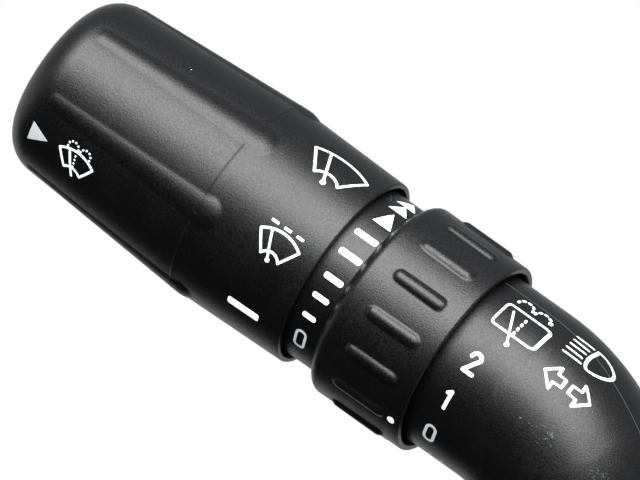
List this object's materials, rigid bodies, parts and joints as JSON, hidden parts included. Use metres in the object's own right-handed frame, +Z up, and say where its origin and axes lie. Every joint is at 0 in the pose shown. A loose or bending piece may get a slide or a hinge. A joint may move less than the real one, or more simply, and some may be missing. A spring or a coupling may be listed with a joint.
{
  "type": "column stalk wiper switch",
  "caption": "Steering column stalk switch: rotary wiper knob with push washer button, rear wiper ring, turn and flash lever on a screw-on switch module.",
  "frame": {"origin": "on the module's mounting face, midway between its two screw holes", "axes": "+Y out of the mounting face towards the column bracket, so the driver looks along +Y; +Z up; the stalk leaves the module towards -X"},
  "size_m": [0.2008, 0.0355, 0.069],
  "materials": {
    "knob_plastic": "moulded with a fine matte grain",
    "lever_plastic": "moulded, a little smoother than the knob",
    "housing_plastic": "glass-filled nylon, dull",
    "acetal": "natural, waxy",
    "switch_plastic": "moulded",
    "board_laminate": "glass laminate with solder mask",
    "ribbon_vinyl": "flexible vinyl",
    "spring_steel": "hardened, bright",
    "pin_steel": "zinc plated",
    "contact_brass": "stamped"
  },
  "bodies": {
    "root": {"housing_base": "housing_plastic", "housing_cover": "housing_plastic", "cover_screws": "pin_steel", "mount_bushes": "contact_brass", "contact_board": "board_laminate", "terminal_pins": "contact_brass"},
    "turn_yoke": {"turn_carrier": "acetal", "flash_pivot_pin": "pin_steel", "flash_return_spring": "spring_steel", "turn_detent_spring": "spring_steel", "pawl_retainer": "spring_steel", "cancel_spring": "spring_steel"},
    "turn_detent": {"turn_detent_plunger": "acetal"},
    "pawl": {"cancel_pawl": "acetal"},
    "turn_slider": {"turn_contact_slider": "acetal", "turn_contact_bridge": "contact_brass"},
    "lever": {"lever_shell_front": "lever_plastic", "lever_shell_rear": "lever_plastic", "lever_root": "housing_plastic", "index_band": "lever_plastic", "rotor_circlip": "spring_steel", "wiper_contact_board": "board_laminate", "washer_switch": "switch_plastic", "switch_carrier": "acetal", "ribbon_cable": "ribbon_vinyl", "ring_detent_spring": "spring_steel", "wiper_detent_spring": "spring_steel"},
    "wiper_detent": {"wiper_detent_plunger": "acetal"},
    "rotor": {"wiper_rotor": "acetal", "rotor_contact": "contact_brass", "washer_return_spring": "spring_steel"},
    "knob": {"wiper_knob": "knob_plastic", "knob_retaining_ring": "spring_steel", "washer_push_rod": "acetal"},
    "ring": {"rear_wiper_ring": "knob_plastic", "ring_contact_bridge": "contact_brass"}
  },
  "joints": [
    {"name": "turn_lever", "type": "hinge", "parent": "root", "child": "turn_yoke", "pos_m": [0.006, -0.017, 0], "axis": [0, 1, 0], "range_deg": [-8, 8]},
    {"name": "flash_tip", "type": "hinge", "parent": "turn_yoke", "child": "lever", "pos_m": [-0.0075, -0.017, 0], "axis": [0, 0, 1], "range_deg": [-5, 6], "stiffness_Nm_per_rad": 5, "deforming": ["flash_return_spring"]},
    {"name": "wiper_turn", "type": "hinge", "parent": "lever", "child": "rotor", "pos_m": [-0.10852, -0.017, 0.01457], "axis": [-1, 0, 0], "range_deg": [0, 121]},
    {"name": "washer_push", "type": "slide", "parent": "rotor", "child": "knob", "axis": [1, 0, 0], "range_m": [0, 0.0025], "stiffness_N_per_m": 800, "springref_m": -0.006, "deforming": ["washer_return_spring"]},
    {"name": "rear_wiper_turn", "type": "hinge", "parent": "lever", "child": "ring", "pos_m": [-0.09422, -0.017, 0.01457], "axis": [-1, 0, 0], "range_deg": [0, 83], "deforming": ["ring_detent_spring"]},
    {"name": "cancel_pawl_swing", "type": "hinge", "parent": "turn_yoke", "child": "pawl", "pos_m": [0.02, -0.0217, 0], "axis": [0, 1, 0], "range_deg": [-14, 14], "stiffness_Nm_per_rad": 0.02, "deforming": ["cancel_spring"]},
    {"name": "turn_contact_slide", "type": "slide", "parent": "root", "child": "turn_slider", "axis": [0, 0, 1], "range_m": [-0.0014, 0.0014]},
    {"name": "turn_detent_press", "type": "slide", "parent": "turn_yoke", "child": "turn_detent", "axis": [-1, 0, 0], "range_m": [0, 0.0015], "stiffness_N_per_m": 1500, "springref_m": -0.003, "deforming": ["turn_detent_spring"]},
    {"name": "wiper_detent_press", "type": "slide", "parent": "lever", "child": "wiper_detent", "axis": [1, 0, 0], "range_m": [0, 0.0008], "stiffness_N_per_m": 1000, "springref_m": -0.002, "deforming": ["wiper_detent_spring"]}
  ],
  "couplings": [
    {"joint": "turn_contact_slide", "follows": "turn_lever", "m_per_rad": -0.01}
  ]
}
